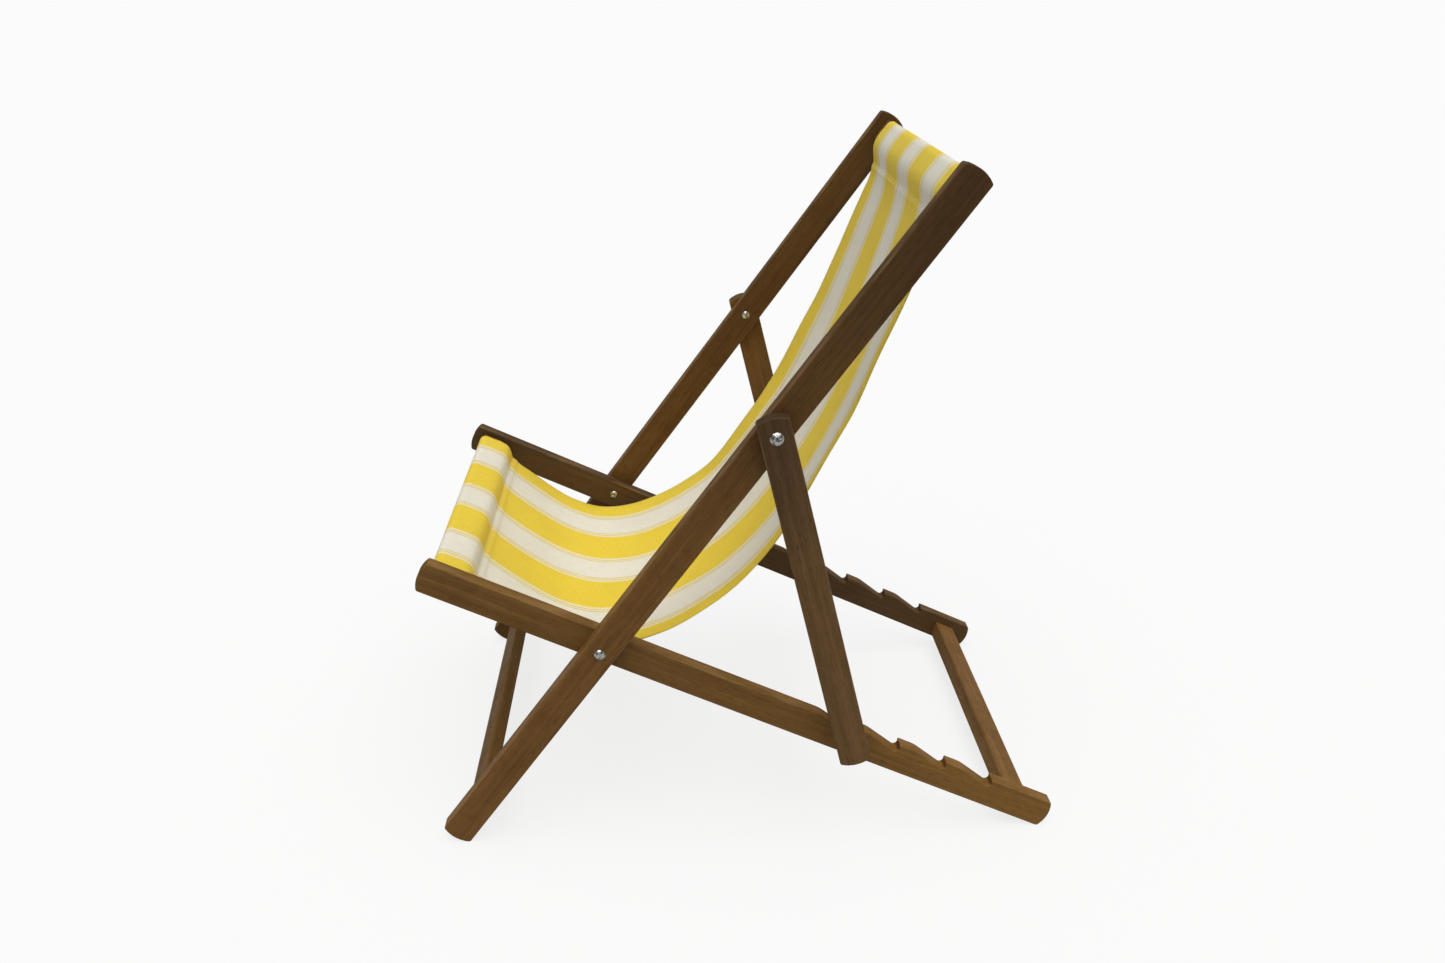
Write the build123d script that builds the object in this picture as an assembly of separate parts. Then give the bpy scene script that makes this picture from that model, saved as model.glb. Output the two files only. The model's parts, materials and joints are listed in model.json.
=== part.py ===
"""Folding deck chair: three hardwood frames and a canvas sling, in millimetres.

The chair faces -Y and +Z is up. The origin is on the floor, under the middle of the bounding box.
The back frame holds the other two: the seat frame turns on the cross pivot and the prop frame on the
prop pivot. Each rail is drawn flat, with s along the rail and n across it, in a side plane that stands
on the rail's pivot, and left is the +X side, the sitter's left hand.
"""

import os
from math import asin, atan2, cos, degrees, hypot, radians, sin, sqrt, tan

from build123d import *

# Rail stock
RAIL_DEPTH = 42.5
RAIL_THICKNESS = 21.0
RAIL_EDGE_RADIUS = 1.6
END_ARC_RADIUS = 42.5
END_CORNER_RADIUS = 4.0
HALF_DEPTH = RAIL_DEPTH / 2

# Where the frames stand, sideways: the seat frame is the innermost and the prop frame the outermost
SEAT_INNER_X = 245.0
FRAME_GAP = 1.8
FRAME_PITCH = RAIL_THICKNESS + FRAME_GAP
BACK_INNER_X = SEAT_INNER_X + FRAME_PITCH
PROP_INNER_X = BACK_INNER_X + FRAME_PITCH

# Lengths along the rails, measured from the pivot that carries them
BACK_TO_FOOT = 358.0
BACK_TO_HEAD = 770.0
SEAT_TO_FRONT = 256.0
SEAT_TO_REAR = 700.0
CROSS_TO_PROP_PIVOT = 381.0
PROP_TO_TOP = 27.0
PROP_TO_BOTTOM = 489.5
PROP_TO_BAR = 443.0

# Slopes, in degrees
BACK_SLOPE = 55.0
PROP_LEAN = 15.2

# Flat lands worn where the rails stand on the floor
FOOT_LAND_DEPTH = 1.0

# Notches in the seat rails, which hold the prop bar: a long ramp, a round floor and a wall that leans over it
NOTCH_COUNT = 4
NOTCH_PITCH = 75.3
FIRST_LIP = 368.8
NOTCH_CORNER_DEPTH = 13.8
NOTCH_WALL_ANGLE = 114.0
NOTCH_RAMP_ANGLE = 14.0
NOTCH_FLOOR_RADIUS = 5.4
NOTCH_LIP_RADIUS = 1.8
NOTCH_CREST_RADIUS = 50.0

# Cross rails, with their tenons, and the prop bar
CROSS_RAIL_WIDTH = 36.0
CROSS_RAIL_THICKNESS = 20.0
REAR_RAIL_THICKNESS = 24.0
CROSS_RAIL_EDGE_RADIUS = 3.5
TENON_WIDTH = 26.0
TENON_THICKNESS = 11.0
TENON_LENGTH = 12.0
MORTISE_PLAY = 0.1
BAR_RADIUS = 12.0
BAR_TENON_RADIUS = 8.0
HEAD_RAIL_AT = (742.0, -2.5)
FOOT_RAIL_AT = (-300.0, -2.5)
FRONT_RAIL_AT = (-223.0, 3.0)
REAR_RAIL_AT = (652.0, -4.0)

# Pivot hardware: a bolt and a sleeve nut at each pivot, and a washer between the rails
SLEEVE_RADIUS = 5.0
BOLT_RADIUS = 3.0
RUNNING_CLEARANCE = 0.05
SIDE_PLAY = 0.1
WASHER_RADIUS = 11.0
NUT_HEAD_RADIUS = 6.3
NUT_HEAD_HEIGHT = 3.0
PROP_BOLT_HEAD_RADIUS = 8.8
PROP_BOLT_HEAD_HEIGHT = 4.4
CROSS_BOLT_HEAD_RADIUS = 7.5
CROSS_BOLT_HEAD_HEIGHT = 3.6
HEAD_RIM = 0.7

# Sling: a canvas band with a pocket round the head rail and another round the front rail
SLING_WIDTH = 470.0
SLING_THICKNESS = 1.2
SLING_CLEARANCE = 0.5
POCKET_CORNER_RADIUS = 5.0
# Points of the hanging band, from the head pocket to the front pocket, as (y, z) from the cross pivot
SLING_LINE = [(383, 471), (320, 312), (239, 152), (162, 59), (79, 4), (-20, -15), (-112, 25), (-160, 62)]


def corner_setback():
    """How far the centre of an eased rail corner lies behind the tip of the rail."""
    across = HALF_DEPTH - END_CORNER_RADIUS
    return END_ARC_RADIUS - sqrt((END_ARC_RADIUS - END_CORNER_RADIUS) ** 2 - across**2)


CORNER_ACROSS = HALF_DEPTH - END_CORNER_RADIUS
CORNER_REACH = END_CORNER_RADIUS - FOOT_LAND_DEPTH

# The height of the cross pivot puts the foot of the back frame on the floor, and the slope of the seat
# frame then brings its rear end down to the same floor.
foot_corner = BACK_TO_FOOT - corner_setback()
PIVOT_HEIGHT = (
    foot_corner * sin(radians(BACK_SLOPE)) + CORNER_ACROSS * cos(radians(BACK_SLOPE)) + CORNER_REACH
)
rear_corner = SEAT_TO_REAR - corner_setback()
SEAT_SLOPE = degrees(
    asin((PIVOT_HEIGHT - CORNER_REACH) / hypot(rear_corner, CORNER_ACROSS)) - atan2(CORNER_ACROSS, rear_corner)
)
PROP_SLOPE = PROP_LEAN - 90.0


def direction(slope):
    """Unit (y, z) vector at this slope above the rearward horizontal."""
    return cos(radians(slope)), sin(radians(slope))


def in_frame(pivot, slope, s, n):
    """The (y, z) of a point s along and n across a rail that stands on this pivot at this slope."""
    along_y, along_z = direction(slope)
    return pivot[0] + s * along_y - n * along_z, pivot[1] + s * along_z + n * along_y


# The box runs from the front tip of the seat rails to their rear tip
front_y = -(SEAT_TO_FRONT - END_ARC_RADIUS) * direction(SEAT_SLOPE)[0] - END_ARC_RADIUS
rear_y = (SEAT_TO_REAR - END_ARC_RADIUS) * direction(SEAT_SLOPE)[0] + END_ARC_RADIUS
CROSS_PIVOT = (-(front_y + rear_y) / 2, PIVOT_HEIGHT)
PROP_PIVOT = in_frame(CROSS_PIVOT, BACK_SLOPE, CROSS_TO_PROP_PIVOT, 0)


def side_plane(pivot, slope, x):
    """Drawing plane of a rail: its local X runs along the rail and its local Z is the chair's +X."""
    along_y, along_z = direction(slope)
    return Plane(origin=(x, *pivot), x_dir=(0, along_y, along_z), z_dir=(1, 0, 0))


def notch_corners():
    """Corners of the notched top edge, with the radius that each corner is rounded to."""
    corners = []
    radii = []
    for i in range(NOTCH_COUNT):
        lip = FIRST_LIP + i * NOTCH_PITCH
        floor_s = lip - NOTCH_CORNER_DEPTH / tan(radians(NOTCH_WALL_ANGLE))
        crest_s = floor_s - NOTCH_CORNER_DEPTH / tan(radians(NOTCH_RAMP_ANGLE))
        floor_n = HALF_DEPTH - NOTCH_CORNER_DEPTH
        corners += [(crest_s, HALF_DEPTH), (floor_s, floor_n), (lip, HALF_DEPTH)]
        radii += [NOTCH_CREST_RADIUS, NOTCH_FLOOR_RADIUS, NOTCH_LIP_RADIUS]
    return corners, radii


def rail_outline(start, end, notched=False):
    """Side view of a rail from -start to end: straight edges, broad arcs at the tips, eased corners."""
    sagitta = END_ARC_RADIUS - sqrt(END_ARC_RADIUS**2 - HALF_DEPTH**2)
    low, high = -start + sagitta, end - sagitta
    with BuildSketch() as sketch:
        with BuildLine():
            if notched:
                corners, radii = notch_corners()
                FilletPolyline((low, HALF_DEPTH), *corners, (high, HALF_DEPTH), radius=radii)
            else:
                Line((low, HALF_DEPTH), (high, HALF_DEPTH))
            ThreePointArc((high, HALF_DEPTH), (end, 0), (high, -HALF_DEPTH))
            Line((high, -HALF_DEPTH), (low, -HALF_DEPTH))
            ThreePointArc((low, -HALF_DEPTH), (-start, 0), (low, HALF_DEPTH))
        make_face()
        tips = [v for v in sketch.vertices() if min(abs(v.X - low), abs(v.X - high)) < 0.01]
        fillet(tips, END_CORNER_RADIUS)
    return sketch.sketch


def bored(rail, s, radius):
    """Bores the pivot hole of this radius through the rail, s along it."""
    return rail - Pos(s, 0, RAIL_THICKNESS / 2) * Cylinder(radius, 2 * RAIL_THICKNESS)


def mortised(rail, at):
    """Cuts the blind mortise of a cross rail into the rail's inner face."""
    mortise = Box(
        TENON_WIDTH + 2 * MORTISE_PLAY,
        TENON_THICKNESS + 2 * MORTISE_PLAY,
        2 * (TENON_LENGTH + MORTISE_PLAY),
    )
    return rail - Pos(*at, 0) * mortise


def rounded_plate(outline):
    """Extrudes a rail's side view to its thickness and rounds every edge of both faces."""
    plate = extrude(outline, RAIL_THICKNESS)
    rims = plate.edges().filter_by(lambda edge: edge.bounding_box().size.Z < 0.01)
    return fillet(rims, RAIL_EDGE_RADIUS)


def off_floor(solid):
    """Cuts away what would stand below the floor, which leaves a flat land."""
    under = Box(2000, 3000, 100, align=(Align.CENTER, Align.CENTER, Align.MAX))
    return solid - under


def back_rail():
    rail = rounded_plate(rail_outline(BACK_TO_FOOT, BACK_TO_HEAD))
    rail = bored(rail, 0, BOLT_RADIUS + RUNNING_CLEARANCE)
    rail = bored(rail, CROSS_TO_PROP_PIVOT, SLEEVE_RADIUS + RUNNING_CLEARANCE)
    rail = mortised(mortised(rail, HEAD_RAIL_AT), FOOT_RAIL_AT)
    return off_floor(side_plane(CROSS_PIVOT, BACK_SLOPE, BACK_INNER_X) * rail)


def seat_rail():
    rail = rounded_plate(rail_outline(SEAT_TO_FRONT, SEAT_TO_REAR, notched=True))
    rail = bored(rail, 0, SLEEVE_RADIUS + RUNNING_CLEARANCE)
    rail = mortised(mortised(rail, FRONT_RAIL_AT), REAR_RAIL_AT)
    return off_floor(side_plane(CROSS_PIVOT, -SEAT_SLOPE, SEAT_INNER_X) * rail)


def prop_leg():
    leg = rounded_plate(rail_outline(PROP_TO_TOP, PROP_TO_BOTTOM))
    leg = bored(leg, 0, SLEEVE_RADIUS + RUNNING_CLEARANCE)
    socket = Cylinder(BAR_TENON_RADIUS + MORTISE_PLAY, 2 * (TENON_LENGTH + MORTISE_PLAY))
    leg -= Pos(PROP_TO_BAR, 0, 0) * socket
    return side_plane(PROP_PIVOT, PROP_SLOPE, PROP_INNER_X) * leg


def cross_rail(slope, at, half_length, thickness=CROSS_RAIL_THICKNESS):
    """A cross rail on the cross pivot's frame, with a tenon at each end."""
    blank = Box(CROSS_RAIL_WIDTH, thickness, 2 * half_length)
    blank = fillet(blank.edges().filter_by(Axis.Z), CROSS_RAIL_EDGE_RADIUS)
    tenons = Box(TENON_WIDTH, TENON_THICKNESS, 2 * (half_length + TENON_LENGTH))
    return side_plane(CROSS_PIVOT, slope, 0) * Pos(*at, 0) * (blank + tenons)


def prop_bar():
    """Round bar between the prop legs, with a turned tenon at each end."""
    bar = Cylinder(BAR_RADIUS, 2 * PROP_INNER_X)
    bar += Cylinder(BAR_TENON_RADIUS, 2 * (PROP_INNER_X + TENON_LENGTH))
    return side_plane(PROP_PIVOT, PROP_SLOPE, 0) * Pos(PROP_TO_BAR, 0, 0) * bar


def domed_head(radius, height):
    """A low dome on a short rim, standing on the local XY plane."""
    with BuildSketch(Plane.XZ) as half:
        with BuildLine():
            Line((0, height), (0, 0))
            Line((0, 0), (radius, 0))
            Line((radius, 0), (radius, HEAD_RIM))
            RadiusArc((radius, HEAD_RIM), (0, height), -dome_radius(radius, height - HEAD_RIM))
        make_face()
    return revolve(half.sketch, Axis.Z)


def dome_radius(radius, rise):
    """Radius of the sphere whose cap has this base radius and this rise."""
    return (radius**2 + rise**2) / (2 * rise)


def bolt(head_radius, head_height, tip_length):
    """A bolt with its head's underside at local z = 0 and its shank running down from there."""
    shank = Cylinder(BOLT_RADIUS, tip_length, align=(Align.CENTER, Align.CENTER, Align.MAX))
    return domed_head(head_radius, head_height) + shank


def sleeve_nut(sleeve_length):
    """A nut with its domed head below local z = 0 and its sleeve, the pivot's bearing, above."""
    head = mirror(domed_head(NUT_HEAD_RADIUS, NUT_HEAD_HEIGHT), about=Plane.XY)
    sleeve = Cylinder(SLEEVE_RADIUS, sleeve_length, align=(Align.CENTER, Align.CENTER, Align.MIN))
    hole = Cylinder(BOLT_RADIUS, sleeve_length, align=(Align.CENTER, Align.CENTER, Align.MIN))
    return head + sleeve - hole


def washer(hole_radius):
    """A washer as thick as the gap between two frames, less the side play."""
    ring = Circle(WASHER_RADIUS) - Circle(hole_radius + RUNNING_CLEARANCE)
    return extrude(ring, FRAME_GAP - SIDE_PLAY)


def pivot_hardware():
    """Bolts, sleeve nuts and washers of the left side, as node name to solid."""
    back_outer = BACK_INNER_X + RAIL_THICKNESS
    prop_outer = PROP_INNER_X + RAIL_THICKNESS + SIDE_PLAY
    cross_grip = FRAME_PITCH + SIDE_PLAY
    prop_grip = RAIL_THICKNESS + FRAME_PITCH + SIDE_PLAY

    def cross(x):
        return side_plane(CROSS_PIVOT, BACK_SLOPE, x)

    def prop(x):
        return side_plane(PROP_PIVOT, BACK_SLOPE, x)

    cross_bolt = bolt(CROSS_BOLT_HEAD_RADIUS, CROSS_BOLT_HEAD_HEIGHT, RAIL_THICKNESS + cross_grip)
    prop_bolt = bolt(PROP_BOLT_HEAD_RADIUS, PROP_BOLT_HEAD_HEIGHT, prop_grip)

    return {
        "cross_bolt": cross(back_outer) * cross_bolt,
        "cross_sleeve_nut": cross(SEAT_INNER_X - SIDE_PLAY) * sleeve_nut(cross_grip),
        "cross_washer": cross(BACK_INNER_X - FRAME_GAP + SIDE_PLAY) * washer(SLEEVE_RADIUS),
        "prop_bolt": prop(prop_outer) * prop_bolt,
        "prop_sleeve_nut": prop(BACK_INNER_X) * sleeve_nut(prop_grip),
        "prop_washer": prop(PROP_INNER_X - FRAME_GAP) * washer(SLEEVE_RADIUS),
    }


def pocket(slope, at):
    """Side view of the canvas round one cross rail, as (y, z)."""
    inner_w = CROSS_RAIL_WIDTH + 2 * SLING_CLEARANCE
    inner_t = CROSS_RAIL_THICKNESS + 2 * SLING_CLEARANCE
    grow = 2 * SLING_THICKNESS
    ring = RectangleRounded(inner_w + grow, inner_t + grow, POCKET_CORNER_RADIUS)
    ring -= RectangleRounded(inner_w, inner_t, POCKET_CORNER_RADIUS - SLING_THICKNESS)
    return Pos(*CROSS_PIVOT) * Rot(0, 0, slope) * Pos(*at) * ring


def pocket_exit(slope, at, towards):
    """The (y, z) where the band starts, in the wall of the pocket that faces the band."""
    half = CROSS_RAIL_WIDTH / 2 + SLING_CLEARANCE + SLING_THICKNESS / 2
    return in_frame(CROSS_PIVOT, slope, at[0] + towards * half, at[1])


def sling():
    """The canvas at rest: two pockets and the band that hangs between them."""
    hanging = [(CROSS_PIVOT[0] + y, CROSS_PIVOT[1] + z) for y, z in SLING_LINE]
    head_end = pocket_exit(BACK_SLOPE, HEAD_RAIL_AT, -1)
    front_end = pocket_exit(-SEAT_SLOPE, FRONT_RAIL_AT, 1)
    section = trace(Spline(head_end, *hanging, front_end), SLING_THICKNESS)
    section += pocket(BACK_SLOPE, HEAD_RAIL_AT)
    section += pocket(-SEAT_SLOPE, FRONT_RAIL_AT)
    return extrude(Plane.YZ * section, SLING_WIDTH / 2, dir=(1, 0, 0), both=True)


def left_and_right(name, left):
    """The two mirrored pieces of a pair, as node name to solid."""
    return {f"{name}_left": left, f"{name}_right": mirror(left, about=Plane.YZ)}


def build():
    """Every piece of the chair, as node name to solid."""
    pieces = {
        "head_rail": cross_rail(BACK_SLOPE, HEAD_RAIL_AT, BACK_INNER_X),
        "foot_rail": cross_rail(BACK_SLOPE, FOOT_RAIL_AT, BACK_INNER_X),
        "front_rail": cross_rail(-SEAT_SLOPE, FRONT_RAIL_AT, SEAT_INNER_X),
        "rear_rail": cross_rail(-SEAT_SLOPE, REAR_RAIL_AT, SEAT_INNER_X, REAR_RAIL_THICKNESS),
        "prop_bar": prop_bar(),
        "sling": sling(),
    }
    pieces |= left_and_right("back_rail", back_rail())
    pieces |= left_and_right("seat_rail", seat_rail())
    pieces |= left_and_right("prop_leg", prop_leg())
    for name, solid in pivot_hardware().items():
        pieces |= left_and_right(name, solid)
    return pieces


if __name__ == "__main__":
    os.makedirs("parts", exist_ok=True)
    for name, solid in build().items():
        export_step(solid, f"parts/{name}.step")
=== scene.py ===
"""Looks of the folding deck chair: oiled hardwood rails, bright steel pivots and a striped canvas sling.

Metres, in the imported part's frame: the chair faces -Y, +Z is up and +X is the sitter's left. A rail's own
axes are s, along the rail, and n, across it in the side plane, both from the pivot that carries the rail.
"""

import json
import math

import bpy
import numpy as np
from mathutils import Matrix, Vector


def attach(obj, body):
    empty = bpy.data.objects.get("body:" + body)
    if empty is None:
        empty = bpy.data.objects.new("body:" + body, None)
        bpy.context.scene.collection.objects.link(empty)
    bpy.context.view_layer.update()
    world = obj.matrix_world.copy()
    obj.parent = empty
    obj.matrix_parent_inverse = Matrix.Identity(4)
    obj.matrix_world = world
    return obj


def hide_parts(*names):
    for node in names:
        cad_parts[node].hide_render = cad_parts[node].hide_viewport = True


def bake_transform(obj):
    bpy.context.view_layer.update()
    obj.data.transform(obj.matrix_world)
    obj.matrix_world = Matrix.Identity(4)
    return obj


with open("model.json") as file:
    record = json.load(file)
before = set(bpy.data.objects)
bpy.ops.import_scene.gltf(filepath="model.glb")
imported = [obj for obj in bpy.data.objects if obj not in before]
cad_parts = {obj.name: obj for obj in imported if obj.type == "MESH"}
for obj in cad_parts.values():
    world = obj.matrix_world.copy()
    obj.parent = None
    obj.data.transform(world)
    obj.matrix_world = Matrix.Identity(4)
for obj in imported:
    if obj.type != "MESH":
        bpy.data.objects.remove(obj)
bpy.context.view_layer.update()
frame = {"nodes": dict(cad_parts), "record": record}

MM = 0.001

# Slopes of the rails at rest, in degrees above the rearward horizontal
BACK_SLOPE = 55.0
SEAT_SLOPE = -23.940
PROP_SLOPE = -74.8

# Half the depth of a long rail
HALF_DEPTH = 21.25 * MM

# Canvas, and the mesh that carries it: its rows stand closer together near the seams
HALF_WIDTH = 0.235
CANVAS_THICKNESS = 0.9 * MM
ROW_STEP = 4.5 * MM
FINE_STEP = 1.3 * MM
FINE_REACH = (14.0 * MM, 60.0 * MM)
COLUMNS = 118

joints = {j["name"]: j for j in frame["record"]["behaviour"]["joints"]}
CROSS = Vector(joints["fold"]["pos_m"])
PROP = Vector(joints["prop_swing"]["pos_m"])


def local_to_row(slope, s, n):
    """The point s along and n across a rail of this slope on the cross pivot, in the part's frame."""
    a = math.radians(slope)
    y = CROSS.y + s * math.cos(a) - n * math.sin(a)
    z = CROSS.z + s * math.sin(a) + n * math.cos(a)
    return Vector((0.0, y, z))


# ---------------------------------------------------------------- shader helpers


class Shader:
    """A material's node tree, with short calls for the nodes that are used most."""

    def __init__(self, name):
        self.material = bpy.data.materials.new(name)
        self.material.use_nodes = True
        self.tree = self.material.node_tree
        self.tree.nodes.clear()
        self.out = self.tree.nodes.new("ShaderNodeOutputMaterial")
        self.bsdf = self.tree.nodes.new("ShaderNodeBsdfPrincipled")
        self.link(self.bsdf.outputs["BSDF"], self.out.inputs["Surface"])

    def link(self, a, b):
        self.tree.links.new(a, b)

    def put(self, socket, value):
        """Sets a socket to a constant, or links an output to it."""
        if isinstance(value, bpy.types.NodeSocket):
            self.link(value, socket)
        elif hasattr(value, "__len__") and len(value) == 3 and socket.type == "RGBA":
            socket.default_value = (*value, 1.0)
        else:
            socket.default_value = value

    def node(self, kind, **inputs):
        made = self.tree.nodes.new(kind)
        for name, value in inputs.items():
            self.put(made.inputs[name.replace("_", " ")], value)
        return made

    def math(self, operation, a, b=0.0, c=0.0, clamp=False):
        made = self.tree.nodes.new("ShaderNodeMath")
        made.operation = operation
        made.use_clamp = clamp
        for socket, value in zip(made.inputs, (a, b, c)):
            self.put(socket, value)
        return made.outputs[0]

    def vector_math(self, operation, a, b):
        made = self.tree.nodes.new("ShaderNodeVectorMath")
        made.operation = operation
        self.put(made.inputs[0], a)
        self.put(made.inputs[1], b)
        return made.outputs[0]

    def mix(self, factor, a, b, blend="MIX"):
        made = self.tree.nodes.new("ShaderNodeMix")
        made.data_type = "RGBA"
        made.blend_type = blend
        self.put(made.inputs[0], factor)
        self.put(made.inputs[6], a)
        self.put(made.inputs[7], b)
        return made.outputs[2]

    def lay(self, colour, over, mask, share):
        """Lays one colour over another where the mask is high, by at most this share."""
        return self.mix(self.math("MULTIPLY", mask, share), colour, over)

    def ramp(self, value, low, high, to_low=0.0, to_high=1.0):
        """A smooth step from to_low to to_high, as the value goes from low to high."""
        made = self.tree.nodes.new("ShaderNodeMapRange")
        made.interpolation_type = "SMOOTHSTEP"
        for socket, given in zip(made.inputs, (value, low, high, to_low, to_high)):
            self.put(socket, given)
        return made.outputs[0]

    def noise(self, vector, scale, detail=2.0, roughness=0.5, offset=(0.0, 0.0, 0.0)):
        """Noise with its own scale, per metre, along each axis."""
        place = self.tree.nodes.new("ShaderNodeMapping")
        self.put(place.inputs["Vector"], vector)
        place.inputs["Scale"].default_value = scale
        place.inputs["Location"].default_value = offset
        made = self.node(
            "ShaderNodeTexNoise", Vector=place.outputs[0], Scale=1.0, Detail=detail, Roughness=roughness
        )
        return made.outputs["Fac"]

    def turned(self, vector, degrees_about_x):
        made = self.tree.nodes.new("ShaderNodeMapping")
        self.put(made.inputs["Vector"], vector)
        made.inputs["Rotation"].default_value = (math.radians(degrees_about_x), 0.0, 0.0)
        return made.outputs[0]

    def split(self, vector):
        return tuple(self.node("ShaderNodeSeparateXYZ", Vector=vector).outputs)

    def flat_coordinates(self):
        """The two coordinates of the mesh's own UV map."""
        flat = self.tree.nodes.new("ShaderNodeUVMap")
        flat.uv_map = "flat"
        return self.split(flat.outputs[0])[:2]

    def bump(self, height, strength, distance, normal=None):
        made = self.node("ShaderNodeBump", Height=height, Strength=strength, Distance=distance)
        if normal is not None:
            self.link(normal, made.inputs["Normal"])
        return made.outputs[0]


def shaded(colour, factor):
    return tuple(factor * c for c in colour)


# ---------------------------------------------------------------- wood

END_GRAIN_FACING = (0.72, 0.93)
ARRIS_WIDTH = 2.4 * MM
ARRIS_EDGE = 0.2 * MM
# Colour of the lighter arrises: a painted highlight along the edges, with some rubbed wear
ARRIS_HIGHLIGHT_AND_WEAR = (0.36, 0.21, 0.085)
WOOD_SPECULAR = 0.20
WOOD_RELIEF = 0.00022


def wood(name, slope, pivot, tone, seed, across, tone_and_painted_shade):
    """Oiled hardwood with its grain along the piece: s for a long rail, X for a cross piece.

    The last argument scales the colour along the board, as (s, factor) at two places: painted light and
    shade, laid over the board's own tone.
    """
    sh = Shader(name)
    coordinates = sh.tree.nodes.new("ShaderNodeTexCoord")
    local = sh.turned(sh.vector_math("SUBTRACT", coordinates.outputs["Object"], pivot), -slope)
    x, s, n = sh.split(local)
    swap = sh.node("ShaderNodeCombineXYZ")
    order = (s, x, n) if across else (x, s, n)
    for socket, value in zip(swap.inputs, order):
        sh.link(value, socket)
    grain = swap.outputs[0]
    offset = (seed * 3.71, seed * 1.93, seed * 5.17)

    def noise(vector, across_grain, along_grain, detail, roughness=0.5):
        return sh.noise(vector, (across_grain, along_grain, across_grain), detail, roughness, offset)

    # The board's slow changes of tone, its grain lines, and its pores as short dashes
    warp = noise(grain, 9.0, 2.2, 2.0)
    drift = sh.node(
        "ShaderNodeCombineXYZ", X=sh.math("MULTIPLY", warp, 0.012), Z=sh.math("MULTIPLY", warp, 0.02)
    )
    bent = sh.vector_math("ADD", grain, drift.outputs[0])
    broad = noise(bent, 28.0, 1.4, 2.0, 0.55)
    bands = noise(bent, 150.0, 2.6, 3.0, 0.6)
    fibres = noise(bent, 620.0, 9.0, 3.0, 0.65)
    pores = noise(bent, 1500.0, 55.0, 1.0)
    dashes = sh.ramp(pores, 0.61, 0.70)

    dark, middle, light = tone
    colour = sh.lay(dark, middle, sh.ramp(broad, 0.30, 0.70), 0.8)
    colour = sh.lay(colour, light, sh.ramp(bands, 0.45, 0.75), 0.45)
    colour = sh.lay(colour, shaded(dark, 0.62), sh.ramp(bands, 0.46, 0.28), 0.35)
    colour = sh.lay(colour, light, sh.ramp(fibres, 0.35, 0.65), 0.30)
    colour = sh.lay(colour, shaded(dark, 0.35), dashes, 0.60)

    # End grain where the surface faces along the board
    facing = sh.turned(coordinates.outputs["Normal"], -slope)
    along = sh.split(facing)[0 if across else 1]
    ends = sh.ramp(sh.math("ABSOLUTE", along), *END_GRAIN_FACING)
    dots = noise(grain, 700.0, 700.0, 2.0)
    end_colour = sh.mix(dots, shaded(dark, 0.42), shaded(middle, 0.8))
    colour = sh.lay(colour, end_colour, ends, 0.85)

    # Painted light and shade: the colour is scaled lighter or darker along the board as the light falls on
    # it, over the board's own tone
    (s_from, factor_from), (s_to, factor_to) = tone_and_painted_shade
    factor = sh.ramp(s, s_from, s_to, factor_from, factor_to)
    level = sh.node("ShaderNodeCombineColor", Red=factor, Green=factor, Blue=factor).outputs[0]
    colour = sh.mix(1.0, colour, level, "MULTIPLY")

    # Arrises a little lighter, partly rubbed wear and partly a painted highlight along the edges, and
    # handling marks
    if not across:
        arris = sh.ramp(sh.math("ABSOLUTE", n), HALF_DEPTH - ARRIS_WIDTH, HALF_DEPTH - ARRIS_EDGE)
        highlight_and_wear = sh.ramp(noise(grain, 60.0, 14.0, 3.0), 0.42, 0.66)
        colour = sh.lay(colour, ARRIS_HIGHLIGHT_AND_WEAR, sh.math("MULTIPLY", arris, highlight_and_wear), 0.34)
    blotch = noise(grain, 16.0, 16.0, 4.0, 0.6)
    colour = sh.lay(colour, shaded(dark, 0.5), sh.ramp(blotch, 0.45, 0.75), 0.22)
    sh.put(sh.bsdf.inputs["Base Color"], colour)

    rough = sh.ramp(blotch, 0.3, 0.7, 0.44, 0.60)
    rough = sh.math("ADD", rough, sh.math("MULTIPLY", dashes, 0.18))
    rough = sh.math("ADD", rough, sh.math("MULTIPLY", ends, 0.15), clamp=True)
    sh.put(sh.bsdf.inputs["Roughness"], rough)
    sh.bsdf.inputs["Specular IOR Level"].default_value = WOOD_SPECULAR

    relief = sh.math("ADD", sh.math("MULTIPLY", fibres, 0.35), sh.math("MULTIPLY", bands, 0.35))
    relief = sh.math("SUBTRACT", relief, sh.math("MULTIPLY", dashes, 0.9))
    sh.put(sh.bsdf.inputs["Normal"], sh.bump(relief, 0.55, WOOD_RELIEF))
    return sh.material


# ---------------------------------------------------------------- metal

BRIGHT_STEEL = (0.64, 0.64, 0.61)
# Colour of the hazed patches: dark, a painted reflection of dark surroundings
HAZE_AND_DARK_REFLECTION = (0.17, 0.16, 0.14)
DENT_DEPTH = 0.0009
SCRATCH_DEPTH = 0.00002


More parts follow.
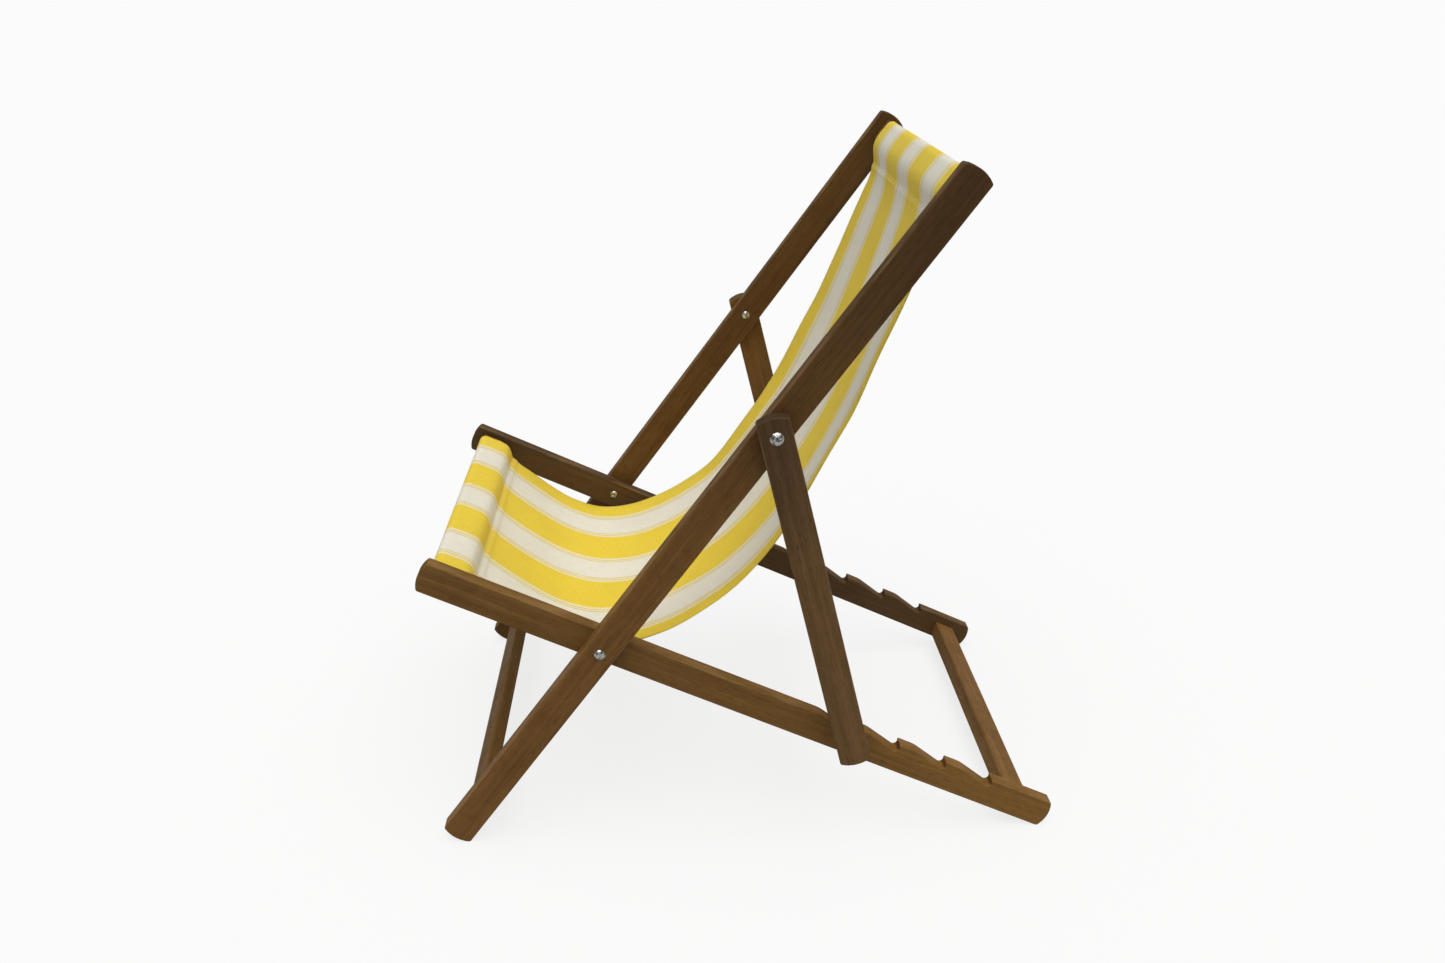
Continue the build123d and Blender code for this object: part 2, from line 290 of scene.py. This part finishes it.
def bright_steel(name, seed):
    """Plated steel, polished, with hazed patches that are rougher and darker, their dark colour a painted
    reflection of dark surroundings, small dents and faint scratches.
    """
    sh = Shader(name)
    coordinates = sh.tree.nodes.new("ShaderNodeTexCoord")
    point = coordinates.outputs["Object"]
    offset = (seed * 1.3, seed * 0.7, seed * 2.9)
    haze_and_reflection = sh.noise(point, (220.0, 220.0, 220.0), 3.0, offset=offset)
    scratches = sh.noise(point, (900.0, 4200.0, 700.0), offset=offset)
    # Painted reflection: the hazed patches take a dark colour, standing for dark surroundings seen in the
    # steel
    colour = sh.mix(sh.ramp(haze_and_reflection, 0.44, 0.62), BRIGHT_STEEL, HAZE_AND_DARK_REFLECTION)
    sh.put(sh.bsdf.inputs["Base Color"], colour)
    sh.bsdf.inputs["Metallic"].default_value = 1.0
    rough = sh.ramp(haze_and_reflection, 0.3, 0.75, 0.05, 0.14)
    sh.put(sh.bsdf.inputs["Roughness"], sh.math("ADD", rough, sh.math("MULTIPLY", scratches, 0.06)))
    dents = sh.noise(point, (420.0, 420.0, 420.0), 1.0, offset=offset)
    dented = sh.bump(dents, 0.6, DENT_DEPTH)
    sh.put(sh.bsdf.inputs["Normal"], sh.bump(scratches, 0.2, SCRATCH_DEPTH, dented))
    return sh.material


# ---------------------------------------------------------------- canvas

# The stripes, in metres across the cloth
STRIPE_PERIOD = 0.161
STRIPE_CENTRE = 0.007
YELLOW_HALF = 0.0400
STRIPE_SOFTNESS = 0.0005
THREAD_WANDER = 0.0007
CREAM = (0.830, 0.800, 0.695)
YELLOW = (0.855, 0.640, 0.053)
PIN = (0.660, 0.480, 0.060)
PIN_GROUND = (0.870, 0.745, 0.330)
PIN_LINES = (0.0066, 0.0125)
PIN_HALF = 0.0008
WEAVE_PITCH = 0.00085
DULLED_CLOTH = (0.80, 0.78, 0.72)
WRINKLE_DEPTH = 0.004
WEAVE_DEPTH = 0.00025

THREAD_TWIST = 0.0009
THREAD_COLOURS = ((0.52, 0.44, 0.26), (0.80, 0.72, 0.52))
THREAD_RELIEF = 0.0001


def canvas(name):
    """Woven stripes: yellow and cream, with two fine pin lines at each change of colour.

    The pattern lies on the cloth's own flat coordinates, which the mesh carries as its UV map, in metres.
    """
    sh = Shader(name)
    u, v = sh.flat_coordinates()
    point = sh.node("ShaderNodeCombineXYZ", X=u, Y=v).outputs[0]

    # A thread's wander keeps each edge from being ruled
    wander = sh.noise(point, (260.0, 900.0, 1.0), 1.0)
    across = sh.math("ADD", u, sh.math("MULTIPLY", sh.math("SUBTRACT", wander, 0.5), THREAD_WANDER))
    phase = sh.math("SUBTRACT", across, STRIPE_CENTRE)
    wrapped = sh.math("PINGPONG", phase, STRIPE_PERIOD / 2)
    # wrapped is 0 at the middle of a cream stripe and half the period at the middle of a yellow one
    from_yellow = sh.math("SUBTRACT", STRIPE_PERIOD / 2 - YELLOW_HALF, wrapped)
    yellow = sh.ramp(from_yellow, STRIPE_SOFTNESS, -STRIPE_SOFTNESS)
    colour = sh.mix(yellow, CREAM, YELLOW)

    def line(centre, half):
        off = sh.math("ABSOLUTE", sh.math("SUBTRACT", from_yellow, centre))
        return sh.ramp(off, half + STRIPE_SOFTNESS, half - STRIPE_SOFTNESS)

    # A faint yellow cast fills the ground between the pin lines and the yellow stripe
    wash = sh.ramp(from_yellow, PIN_LINES[1] + 0.0022, PIN_LINES[1] - 0.0010)
    wash = sh.math("MULTIPLY", wash, sh.math("SUBTRACT", 1.0, yellow))
    colour = sh.lay(colour, PIN_GROUND, wash, 0.50)
    for centre in PIN_LINES:
        colour = sh.lay(colour, PIN, line(centre, PIN_HALF), 0.90)

    # Warp and weft of a plain weave
    warp = sh.math("SINE", sh.math("MULTIPLY", u, 2 * math.pi / WEAVE_PITCH))
    weft = sh.math("SINE", sh.math("MULTIPLY", v, 2 * math.pi / WEAVE_PITCH))
    weave = sh.math("MULTIPLY", warp, weft)
    slub_warp = sh.noise(point, (1300.0, 60.0, 1.0))
    slub_weft = sh.noise(point, (60.0, 1300.0, 1.0))
    shade = sh.math("ADD", sh.math("MULTIPLY", slub_warp, 0.5), sh.math("MULTIPLY", slub_weft, 0.5))
    dim = sh.mix(1.0, colour, DULLED_CLOTH, "MULTIPLY")
    colour = sh.lay(colour, dim, sh.ramp(shade, 0.62, 0.36), 0.50)
    colour = sh.lay(colour, dim, sh.ramp(weave, -0.5, -1.0), 0.22)

    # Slow changes of tone, as handled and sat-on cloth has
    soil = sh.noise(point, (9.0, 9.0, 1.0), 3.0)
    colour = sh.lay(colour, dim, sh.ramp(soil, 0.45, 0.8), 0.35)

    sh.put(sh.bsdf.inputs["Base Color"], colour)
    sh.put(sh.bsdf.inputs["Roughness"], sh.ramp(shade, 0.3, 0.7, 0.78, 0.92))
    sh.bsdf.inputs["Specular IOR Level"].default_value = 0.15
    sh.bsdf.inputs["Sheen Weight"].default_value = 0.08
    sh.bsdf.inputs["Sheen Roughness"].default_value = 0.5

    wrinkle = sh.noise(point, (34.0, 20.0, 1.0), 3.0)
    wrinkled = sh.bump(wrinkle, 0.22, WRINKLE_DEPTH)
    fine = sh.math("ADD", sh.math("MULTIPLY", weave, 0.5), sh.math("MULTIPLY", shade, 0.9))
    sh.put(sh.bsdf.inputs["Normal"], sh.bump(fine, 0.5, WEAVE_DEPTH, wrinkled))
    return sh.material


def thread(name):
    """Sewing thread: two plies twisted together, a little shiny.

    On the thread's UV map, u runs from 0 to 1 round it and v along it, in metres.
    """
    sh = Shader(name)
    u, v = sh.flat_coordinates()
    round_it = sh.math("MULTIPLY", u, 2 * 2 * math.pi)
    along_it = sh.math("MULTIPLY", v, 2 * math.pi / THREAD_TWIST)
    twist = sh.math("SINE", sh.math("ADD", along_it, round_it))
    colour = sh.mix(sh.ramp(twist, -1.0, 0.4), *THREAD_COLOURS)
    sh.put(sh.bsdf.inputs["Base Color"], colour)
    sh.bsdf.inputs["Roughness"].default_value = 0.55
    sh.put(sh.bsdf.inputs["Normal"], sh.bump(twist, 0.5, THREAD_RELIEF))
    return sh.material


# ---------------------------------------------------------------- the sling's shape

CURVE_SAMPLES = 24


def smooth_path(points, creases):
    """A Catmull-Rom curve through the points, sampled closely near the creases and loosely elsewhere."""
    dense = []
    ends = [points[0] * 2 - points[1], *points, points[-1] * 2 - points[-2]]
    for p0, p1, p2, p3 in zip(ends, ends[1:], ends[2:], ends[3:]):
        knots = [0.0]
        for a, b in ((p0, p1), (p1, p2), (p2, p3)):
            knots.append(knots[-1] + max((b - a).length, 1e-6) ** 0.5)
        for t in np.linspace(knots[1], knots[2], CURVE_SAMPLES, endpoint=False):
            a1 = p0.lerp(p1, (t - knots[0]) / (knots[1] - knots[0]))
            a2 = p1.lerp(p2, (t - knots[1]) / (knots[2] - knots[1]))
            a3 = p2.lerp(p3, (t - knots[2]) / (knots[3] - knots[2]))
            b1 = a1.lerp(a2, (t - knots[0]) / (knots[2] - knots[0]))
            b2 = a2.lerp(a3, (t - knots[1]) / (knots[3] - knots[1]))
            dense.append(b1.lerp(b2, (t - knots[1]) / (knots[2] - knots[1])))
    dense.append(points[-1])
    line = np.array([(p.y, p.z) for p in dense])
    along = np.concatenate([[0], np.cumsum(np.linalg.norm(np.diff(line, axis=0), axis=1))])
    marks = [along[np.argmin(np.hypot(line[:, 0] - p.y, line[:, 1] - p.z))] for p in creases]
    at = [0.0]
    while at[-1] < along[-1]:
        away = min(abs(at[-1] - mark) for mark in marks)
        at.append(at[-1] + np.interp(away, FINE_REACH, (FINE_STEP, ROW_STEP)))
    at = np.array(at) * (along[-1] / at[-1])
    return np.stack([np.interp(at, along, line[:, k]) for k in range(2)], axis=1), at


def from_points(slope, *pairs):
    """Points of the part's frame from (s, n) pairs, in millimetres, on a rail of this slope."""
    return [local_to_row(slope, s * MM, n * MM) for s, n in pairs]


# The cloth's path, as one strip: from the turned hem behind the head seam, round the head rail, down the
# back, along the seat, round the front rail, and back to the turned hem under the front seam.
HEAD_HEM = from_points(BACK_SLOPE, (672, -23.0), (684, -17.4), (696, -11.8))
HEAD_LOOP = from_points(
    BACK_SLOPE,
    (708, -11.4), (720, -12.8), (732, -13.6), (746, -13.7), (757, -13.0), (761.6, -9.0),
    (762.2, -2.0), (761.4, 5.2), (756, 9.4), (745, 10.4), (734, 10.6), (724, 9.6), (715, 6.0), (706.5, -0.8),
    (700.8, -6.2),
)
HEAD_CREASE = local_to_row(BACK_SLOPE, 698.0 * MM, -8.4 * MM)
BACK_RUN = [
    Vector((0, CROSS.y + y * MM, CROSS.z + z * MM))
    for y, z in (
        (402.6, 538), (395.8, 509), (384.9, 470), (369.2, 422), (348, 366), (323.5, 311),
        (299.3, 256), (273.0, 202), (241.6, 149.6), (205.9, 100.6), (164.3, 56.6), (123.8, 26.4), (79.6, 2.3),
        (31.7, -13.7), (-20, -15.9), (-69.3, -0.9), (-112, 24.6),
    )
]
# The folded edge inside each seam shows as a low ridge beside the crease
HEAD_RIDGE = from_points(BACK_SLOPE, (694.5, -9.6), (690.5, -10.6), (686.5, -13.4))
FRONT_RIDGE = from_points(SEAT_SLOPE, (-153.0, -13.6), (-170.0, -8.4), (-174.6, -5.6), (-178.6, -4.6))
FRONT_CREASE = local_to_row(SEAT_SLOPE, -182.6 * MM, -3.4 * MM)
FRONT_LOOP = from_points(
    SEAT_SLOPE,
    (-185.6, 0.4), (-190.4, 7.0), (-197.0, 12.6), (-208, 14.8), (-224, 14.7), (-237, 14.0), (-242.2, 9.6),
    (-242.8, 3.0), (-242.2, -3.8), (-237, -8.3), (-225, -8.9), (-211, -8.6), (-199, -6.6), (-190, -3.6),
)
FRONT_HEM = from_points(SEAT_SLOPE, (-181.0, -4.2), (-171, -8.4), (-159, -13.6))
strip_points = (
    HEAD_HEM + HEAD_LOOP + [HEAD_CREASE] + HEAD_RIDGE + BACK_RUN
    + FRONT_RIDGE + [FRONT_CREASE] + FRONT_LOOP + FRONT_HEM
)
path, arc = smooth_path(strip_points, (HEAD_CREASE, FRONT_CREASE))
tangent = np.gradient(path, arc, axis=0)
tangent /= np.linalg.norm(tangent, axis=1)[:, None]
normal_yz = np.stack([tangent[:, 1], -tangent[:, 0]], axis=1)


def nearest_row(point):
    return int(np.argmin(np.linalg.norm(path - np.array([point.y, point.z]), axis=1)))


HEAD_SEAM_ROW = nearest_row(HEAD_CREASE)
FRONT_SEAM_ROW = nearest_row(FRONT_CREASE)
# How far each row lies along the hanging band: 0 at the head's seam and 1 at the front's
band = np.clip((arc - arc[HEAD_SEAM_ROW]) / (arc[FRONT_SEAM_ROW] - arc[HEAD_SEAM_ROW]), 0.0, 1.0)


def hump(t, centre, width):
    """A smooth bump of height 1."""
    return np.exp(-(((t - centre) / width) ** 2))


def ease(t):
    t = np.clip(t, 0.0, 1.0)
    return t * t * (3 - 2 * t)


# Depths of the hanging cloth's shape
DISH = 11.5 * MM
HOLLOW = 8.5 * MM
EVEN_HOLLOW = 1.2 * MM
LEAN = 4.5 * MM
EDGE_WAVE = 0.45 * MM
# The share of the band, at each seam, over which the cloth is freed
HELD_SHARE = 0.05
# Pulls at each end, as the end's t, their reach along the band and how far they lean inwards
PULL_ENDS = ((0.0, 0.30, 0.34), (1.0, 0.26, 0.30))
# Where each pull starts across the cloth, and its height
PULLS = ((0.93, 1.1 * MM), (0.80, 0.9 * MM), (0.66, 0.6 * MM))


def cloth_offset(t, u):
    """How far the hanging band stands off its middle line, for t along the band and u = -1..1 across.

    The edges stand proud of the middle, because the middle hangs lower, and the cloth leans to one side.
    Fine pulls run from the corners of both pockets, and the edges wave a little.
    """
    held = ease(t / HELD_SHARE) * ease((1 - t) / HELD_SHARE)
    dish = DISH * np.sin(math.pi * np.clip(t, 0, 1)) ** 0.8 * u**2
    hollow = -(HOLLOW * hump(t, 0.33, 0.12) + EVEN_HOLLOW) * (1 - abs(u) ** 3)
    lean = -LEAN * hump(t, 0.50, 0.17) * u
    edge = ease((abs(u) - 0.55) / 0.45)
    wave = EDGE_WAVE * edge * (np.sin(t * 31.0 + 2.0 * u) + 0.6 * np.sin(t * 57.0 - 3.0 * u))
    pulls = np.zeros_like(t * u)
    for start, reach, lean_in in PULL_ENDS:
        away = abs(t - start)
        fade = ease(away / 0.04) * ease(1 - away / reach)
        for k, (at, height) in enumerate(PULLS):
            line = at - lean_in * away / reach
            pulls += fade * height * hump(abs(u), line, 0.035 + 0.02 * k)
    slow = 1.1 * MM * np.sin(6.3 * t + 1.7) * np.sin(2.6 * u + 0.8)
    slow = slow + 0.7 * MM * np.sin(17.0 * t + 4.0 * u)
    # Each edge has settled in its own way, in millimetres: the sitter's right edge is u = -1
    right_set = 7.4 * hump(t, 0.15, 0.13)
    right_set = right_set - 8.0 * ease((t - 0.46) / 0.16) * ease((0.98 - t) / 0.16)
    left_set = 2.4 * hump(t, 0.12, 0.08) - 3.8 * hump(t, 0.285, 0.045)
    left_set = left_set - 8.0 * ease((t - 0.36) / 0.26) * ease((0.98 - t) / 0.20)
    settled = MM * (((1 - u) / 2) ** 4 * right_set + ((1 + u) / 2) ** 4 * left_set)
    return held * (dish + hollow + lean + wave + pulls + slow + settled)


PUCKER = 0.35 * MM
PUCKER_REACH = 0.010
# How much the side edges draw in, as a share of the width: once over the band, and in a fine ripple
DRAWN_IN = 0.008
EDGE_RIPPLE = 0.0015
# How much thicker the woven selvedge is, where it starts across the cloth and how fast it rises
SELVEDGE_EXTRA = 0.55
SELVEDGE_FROM = 0.975
SELVEDGE_RISE = 0.012


def pocket_pucker(row_arc, u):
    """Small gathers along both seams, where the stitches draw the layers in."""
    total = np.zeros_like(row_arc * u)
    for seam in (arc[HEAD_SEAM_ROW], arc[FRONT_SEAM_ROW]):
        off = abs(row_arc - seam)
        total += hump(off, 0.0, PUCKER_REACH) * (np.sin(u * 150.0 + 11.0 * np.sin(u * 9.0)) * PUCKER)
    return total


def build_sling():
    """The canvas as a grid that follows the path, with thickness from the two faces of one sheet."""
    rows = len(path)
    us = np.linspace(-1.0, 1.0, COLUMNS + 1)
    u_grid, t_grid = np.meshgrid(us, band)
    arc_grid = np.repeat(arc[:, None], COLUMNS + 1, axis=1)
    inside = (t_grid > 0) & (t_grid < 1)
    lift = np.where(inside, cloth_offset(t_grid, u_grid), 0.0) + pocket_pucker(arc_grid, u_grid)
    narrow = 1.0 - DRAWN_IN * np.sin(math.pi * t_grid) - EDGE_RIPPLE * np.sin(t_grid * 44.0)
    x = u_grid * HALF_WIDTH * np.where(inside, narrow, 1.0)
    y = path[:, 0][:, None] + normal_yz[:, 0][:, None] * lift
    z = path[:, 1][:, None] + normal_yz[:, 1][:, None] * lift
    middle = np.stack([x, y, z], axis=2)

    # True surface normals, for the two faces
    dv = np.gradient(middle, arc, axis=0)
    du = np.gradient(middle, axis=1)
    normal = np.cross(du, dv)
    normal /= np.linalg.norm(normal, axis=2)[:, :, None]
    selvedge = 1.0 + SELVEDGE_EXTRA * ease((abs(u_grid) - SELVEDGE_FROM) / SELVEDGE_RISE)
    half = normal * (CANVAS_THICKNESS / 2) * selvedge[:, :, None]
    vertices = np.concatenate([side.reshape(-1, 3) for side in (middle + half, middle - half)])

    width = COLUMNS + 1
    count = rows * width
    faces = []
    for r in range(rows - 1):
        for c in range(COLUMNS):
            a = r * width + c
            faces.append((a, a + 1, a + width + 1, a + width))
            faces.append((count + a, count + a + width, count + a + width + 1, count + a + 1))
    rim = [(r * width, (r + 1) * width) for r in range(rows - 1)]
    rim_far = [(r * width + COLUMNS, (r + 1) * width + COLUMNS) for r in range(rows - 1)]
    ends = [(c, c + 1) for c in range(COLUMNS)]
    last = (rows - 1) * width
    faces += [(a, b, count + b, count + a) for a, b in rim]
    faces += [(b, a, count + a, count + b) for a, b in rim_far]
    faces += [(b, a, count + a, count + b) for a, b in ends]
    faces += [(last + a, last + b, count + last + b, count + last + a) for a, b in ends]

    mesh = bpy.data.meshes.new("sling_canvas")
    mesh.from_pydata([tuple(v) for v in vertices], [], faces)
    layer = mesh.uv_layers.new(name="flat")
    index = np.zeros(len(mesh.loops), np.int32)
    mesh.loops.foreach_get("vertex_index", index)
    flat_u = np.tile(us * HALF_WIDTH, rows)
    flat_v = np.repeat(arc, width)
    flat = np.stack([np.tile(flat_u, 2), np.tile(flat_v, 2)], axis=1)
    layer.data.foreach_set("uv", flat[index].astype(np.float32).ravel())
    for polygon in mesh.polygons:
        polygon.use_smooth = True
    mesh.update()
    sling = bpy.data.objects.new("sling_canvas", mesh)
    bpy.context.scene.collection.objects.link(sling)
    return sling, middle, normal


def stitch_row(name, middle, normal, row, side, material):
    """One row of stitches across the cloth: short raised threads that dip into it at both ends."""
    pitch, length, radius, margin = 4.2 * MM, 3.3 * MM, 0.34 * MM, 4 * MM
    ring, steps = 6, 7
    line, up = middle[row], normal[row] * side
    xs = line[:, 0]
    vertices, faces, flats = [], [], []
    count = int((xs[-1] - xs[0] - 2 * margin) / pitch)
    for k in range(count):
        x0 = xs[0] + margin + k * pitch
        base = len(vertices)
        for i in range(steps):
            t = i / (steps - 1)
            x = x0 + t * length
            centre = np.array([np.interp(x, xs, line[:, j]) for j in range(3)])
            out = np.array([np.interp(x, xs, up[:, j]) for j in range(3)])
            out /= np.linalg.norm(out)
            rise = CANVAS_THICKNESS / 2 + radius * (1.5 * math.sin(math.pi * t) ** 0.5 - 0.9)
            swell = radius * (0.55 + 0.45 * math.sin(math.pi * t))
            sideways = np.cross(out, np.array([1.0, 0.0, 0.0]))
            for j in range(ring):
                angle = 2 * math.pi * j / ring
                offset = out * (rise + swell * math.cos(angle)) + sideways * swell * math.sin(angle)
                vertices.append(tuple(centre + offset))
                flats.append((j / ring, t * length))
        for i in range(steps - 1):
            for j in range(ring):
                a, b = base + i * ring + j, base + i * ring + (j + 1) % ring
                faces.append((a, b, b + ring, a + ring))
        faces.append(tuple(base + j for j in reversed(range(ring))))
        faces.append(tuple(base + (steps - 1) * ring + j for j in range(ring)))
    mesh = bpy.data.meshes.new(name)
    mesh.from_pydata(vertices, [], faces)
    layer = mesh.uv_layers.new(name="flat")
    for loop in mesh.loops:
        layer.data[loop.index].uv = flats[loop.vertex_index]
    for polygon in mesh.polygons:
        polygon.use_smooth = True
    mesh.materials.append(material)
    made = bpy.data.objects.new(name, mesh)
    bpy.context.scene.collection.objects.link(made)
    return made


sling, middle, normal = build_sling()
sling.data.materials.append(canvas("striped_canvas"))
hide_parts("sling")

# Two rows of stitches at each seam, so many rows of the mesh from it, on both faces of the cloth
thread_material = thread("sewing_thread")
for label, seam_row, body, offsets in (
    ("head", HEAD_SEAM_ROW, "back_frame", (1, 4)),
    ("front", FRONT_SEAM_ROW, "seat_frame", (-1, -4)),
):
    for k, offset in enumerate(offsets):
        for side_name, side in (("top", 1.0), ("under", -1.0)):
            piece_name = f"{label}_stitches_{k + 1}_{side_name}"
            piece = stitch_row(piece_name, middle, normal, seam_row + offset, side, thread_material)
            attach(piece, body)

# ---------------------------------------------------------------- materials on the CAD nodes

# Tones of the oiled wood, as dark, middle and light
RED_BROWN = ((0.110, 0.048, 0.0095), (0.160, 0.074, 0.0155), (0.225, 0.115, 0.028))
GREY_BROWN = ((0.098, 0.049, 0.0150), (0.145, 0.076, 0.0250), (0.200, 0.112, 0.042))
AMBER = ((0.116, 0.054, 0.0102), (0.170, 0.083, 0.0166), (0.237, 0.127, 0.0305))
GOLDEN = ((0.122, 0.058, 0.0105), (0.180, 0.089, 0.0170), (0.248, 0.134, 0.032))
TAN = ((0.122, 0.058, 0.0140), (0.180, 0.089, 0.0230), (0.248, 0.134, 0.0430))


def even(factor):
    """The same scale of colour all along a board: painted light and shade, with the board's own tone."""
    return ((0.0, factor), (1.0, factor))


# Each piece: slope, pivot, tone, whether its grain runs across the chair, and its scale of colour along the
# board, which paints light and shade over its own tone
WOODS = {
    "back_rail_left": (BACK_SLOPE, CROSS, RED_BROWN, False, ((-0.10, 1.25), (0.74, 0.50))),
    "back_rail_right": (BACK_SLOPE, CROSS, RED_BROWN, False, ((0.10, 0.84), (0.60, 0.70))),
    "head_rail": (BACK_SLOPE, CROSS, RED_BROWN, True, even(1.0)),
    "foot_rail": (BACK_SLOPE, CROSS, GOLDEN, True, even(1.10)),
    "seat_rail_left": (SEAT_SLOPE, CROSS, AMBER, False, ((-0.10, 1.18), (0.60, 1.38))),
    "seat_rail_right": (SEAT_SLOPE, CROSS, GREY_BROWN, False, ((-0.10, 0.64), (0.60, 0.84))),
    "front_rail": (SEAT_SLOPE, CROSS, RED_BROWN, True, even(1.0)),
    "rear_rail": (SEAT_SLOPE, CROSS, TAN, True, even(1.34)),
    "prop_leg_left": (PROP_SLOPE, PROP, GREY_BROWN, False, ((-0.02, 0.62), (0.26, 1.10))),
    "prop_leg_right": (PROP_SLOPE, PROP, RED_BROWN, False, even(1.15)),
    "prop_bar": (PROP_SLOPE, PROP, RED_BROWN, True, even(1.0)),
}


def paint(node, material):
    data = frame["nodes"][node].data
    data.materials.clear()
    data.materials.append(material)


for seed, (node, (slope, pivot, tone, across, tone_and_painted_shade)) in enumerate(WOODS.items()):
    paint(node, wood(f"{node}_wood", slope, pivot, tone, seed + 1.0, across, tone_and_painted_shade))
hardware = [n for n in frame["nodes"] if any(word in n for word in ("bolt", "nut", "washer"))]
for seed, node in enumerate(sorted(hardware)):
    paint(node, bright_steel(f"{node}_steel", seed + 1.0))

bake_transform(sling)

# ---------------------------------------------------------------- stage, lights, camera


def pale_floor(name, bounce, seen_share, glow):
    """A plain floor that looks paler than it lights the object, so that its shadows stay light.

    bounce is its own colour, seen_share how much of the view is the plain glow, and glow its strength.
    """
    sh = Shader(name)
    mottle = sh.noise(sh.tree.nodes.new("ShaderNodeTexCoord").outputs["Object"], (3.0, 3.0, 3.0), 3.0)
    colour = (bounce, bounce, bounce)
    sh.put(sh.bsdf.inputs["Base Color"], sh.lay(colour, shaded(colour, 0.97), mottle, 0.5))
    sh.bsdf.inputs["Roughness"].default_value = 0.9
    sh.bsdf.inputs["Specular IOR Level"].default_value = 0.0
    shine = sh.node("ShaderNodeEmission", Color=(1.0, 1.0, 1.0), Strength=glow)
    seen = sh.tree.nodes.new("ShaderNodeLightPath").outputs["Is Camera Ray"]
    both = sh.tree.nodes.new("ShaderNodeMixShader")
    sh.link(sh.math("MULTIPLY", seen, seen_share), both.inputs[0])
    sh.link(sh.bsdf.outputs[0], both.inputs[1])
    sh.link(shine.outputs[0], both.inputs[2])
    sh.link(both.outputs[0], sh.out.inputs["Surface"])
    return sh.material


SPREAD = 60.0
# The floor lies a little under the feet, so that no face of theirs lies in it
FLOOR_Z = -0.0005
corners = [(-SPREAD, -SPREAD, 0), (SPREAD, -SPREAD, 0), (SPREAD, SPREAD, 0), (-SPREAD, SPREAD, 0)]
floor_mesh = bpy.data.meshes.new("floor")
floor_mesh.from_pydata(corners, [], [(0, 1, 2, 3)])
floor = bpy.data.objects.new("floor", floor_mesh)
bpy.context.scene.collection.objects.link(floor)
floor.location.z = FLOOR_Z
floor_mesh.materials.append(pale_floor("pale_floor", bounce=0.48, seen_share=0.66, glow=1.20))

# The sky's light grows from near the horizon towards the top: heights, and strengths at them
SKY_HEIGHTS = (-0.05, 0.75)
SKY_STRENGTHS = (0.11, 0.46)
BACKDROP = 0.965

world = bpy.data.worlds.new("studio")
bpy.context.scene.world = world
world.use_nodes = True
sky = world.node_tree
background = sky.nodes["Background"]
direction_in = sky.nodes.new("ShaderNodeTexCoord")
height = sky.nodes.new("ShaderNodeSeparateXYZ")
sky.links.new(direction_in.outputs["Generated"], height.inputs[0])
rise = sky.nodes.new("ShaderNodeMapRange")
for socket, value in zip(list(rise.inputs)[1:5], SKY_HEIGHTS + SKY_STRENGTHS):
    socket.default_value = value
sky.links.new(height.outputs[2], rise.inputs[0])
# The camera sees a plain pale backdrop, whatever lights the object
seen = sky.nodes.new("ShaderNodeLightPath")
choose = sky.nodes.new("ShaderNodeMix")
choose.inputs[3].default_value = BACKDROP
sky.links.new(seen.outputs["Is Camera Ray"], choose.inputs[0])
sky.links.new(rise.outputs[0], choose.inputs[2])
sky.links.new(choose.outputs[0], background.inputs["Strength"])
background.inputs["Color"].default_value = (1.0, 1.0, 1.0, 1.0)


def soft_sun(name, travels, strength, spread_degrees, colour):
    data = bpy.data.lights.new(name, "SUN")
    data.energy = strength
    data.angle = math.radians(spread_degrees)
    data.color = colour
    light = bpy.data.objects.new(name, data)
    light.rotation_euler = Vector(travels).to_track_quat("-Z", "Y").to_euler()
    bpy.context.scene.collection.objects.link(light)


soft_sun("overhead", (-0.28, -0.02, -1.0), 2.05, 70.0, (1.0, 0.99, 0.975))
soft_sun("side", (-1.0, 0.1, -0.75), 0.22, 60.0, (1.0, 0.985, 0.96))

# The camera's place, its turns in radians, and its focal length as a share of the frame's width
CAMERA_AT = Vector((1.6807, -0.12880, 1.12683))
YAW, PITCH, ROLL = -0.0581737, 0.394212, 0.0265147
FOCAL_SHARE = 1217.1 / 1445.0
SENSOR_WIDTH = 36.0
forward = Vector((-math.cos(YAW) * math.cos(PITCH), -math.sin(YAW) * math.cos(PITCH), -math.sin(PITCH)))
level = Vector((-math.sin(YAW), math.cos(YAW), 0.0))
upright = level.cross(forward)
right = level * math.cos(ROLL) + upright * math.sin(ROLL)
up = upright * math.cos(ROLL) - level * math.sin(ROLL)
camera_data = bpy.data.cameras.new("camera")
camera_data.sensor_fit = "HORIZONTAL"
camera_data.sensor_width = SENSOR_WIDTH
camera_data.lens = SENSOR_WIDTH * FOCAL_SHARE
camera_data.clip_end = 500.0
camera = bpy.data.objects.new("camera", camera_data)
bpy.context.scene.collection.objects.link(camera)
turn = Matrix((right, up, -forward)).transposed()
camera.matrix_world = Matrix.Translation(CAMERA_AT) @ turn.to_4x4()
bpy.context.scene.camera = camera
bpy.context.scene.view_settings.view_transform = "Standard"
